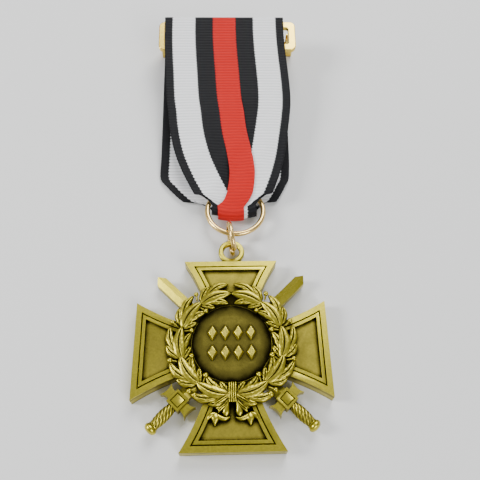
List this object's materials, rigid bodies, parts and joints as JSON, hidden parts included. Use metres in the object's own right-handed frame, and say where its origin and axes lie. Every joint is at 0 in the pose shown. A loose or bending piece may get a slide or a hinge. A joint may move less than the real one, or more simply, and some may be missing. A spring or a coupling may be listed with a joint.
{
  "type": "medal",
  "caption": "Cross-shaped medal with crossed swords and a laurel wreath, hung by two rings from a striped ribbon folded over a brooch frame with a hinged needle.",
  "frame": {"origin": "middle of the cross on its flat back face", "axes": "+X to the right across the face, +Y from the cross up the ribbon, +Z out of the face"},
  "size_m": [0.037, 0.1044, 0.0109],
  "materials": {
    "antique_brass": "cast, antiqued: dark in the recesses, rubbed bright on the rims",
    "dark_patina": "dark patina, finely pebbled",
    "ring_brass": "drawn wire, satin",
    "bright_brass": "stamped strip, polished",
    "steel": "polished wire",
    "ribbon_cloth": "ribbed grosgrain, black, white and red stripes",
    "thread": "sewing thread"
  },
  "bodies": {
    "brooch": {"brooch_frame": "bright_brass", "hinge_bracket": "bright_brass", "hinge_rivet": "steel", "needle_catch": "bright_brass", "ribbon": "ribbon_cloth", "ribbon_stitches": "thread"},
    "needle": {"brooch_needle": "steel"},
    "ribbon_ring": {"ribbon_ring": "ring_brass"},
    "jump_ring": {"jump_ring": "ring_brass"},
    "cross": {"cross_plate": "antique_brass", "centre_disc": "dark_patina", "wreath_branch_right": "antique_brass", "wreath_branch_left": "antique_brass", "wreath_binding": "antique_brass", "wreath_bow": "antique_brass", "sword_right": "antique_brass", "sword_left": "antique_brass", "eyelet": "antique_brass"}
  },
  "joints": [
    {"name": "needle_hinge", "type": "hinge", "parent": "brooch", "child": "needle", "pos_m": [-0.01632, 0.08285, 0.00421], "axis": [0, 0.9799, 0.1994], "range_deg": [0, 70]},
    {"name": "ribbon_ring_swing", "type": "hinge", "parent": "brooch", "child": "ribbon_ring", "pos_m": [0.0012, 0.03731, 0.00208], "axis": [1, 0, 0], "range_deg": [-5, 7]},
    {"name": "jump_ring_swing", "type": "hinge", "parent": "ribbon_ring", "child": "jump_ring", "pos_m": [0.00012, 0.02514, 0.00282], "axis": [1, 0, 0], "range_deg": [-45, 25]},
    {"name": "cross_swing", "type": "hinge", "parent": "jump_ring", "child": "cross", "pos_m": [0.0002, 0.0211, 0.0019], "axis": [0, 0, 1], "range_deg": [-25, 25]}
  ]
}
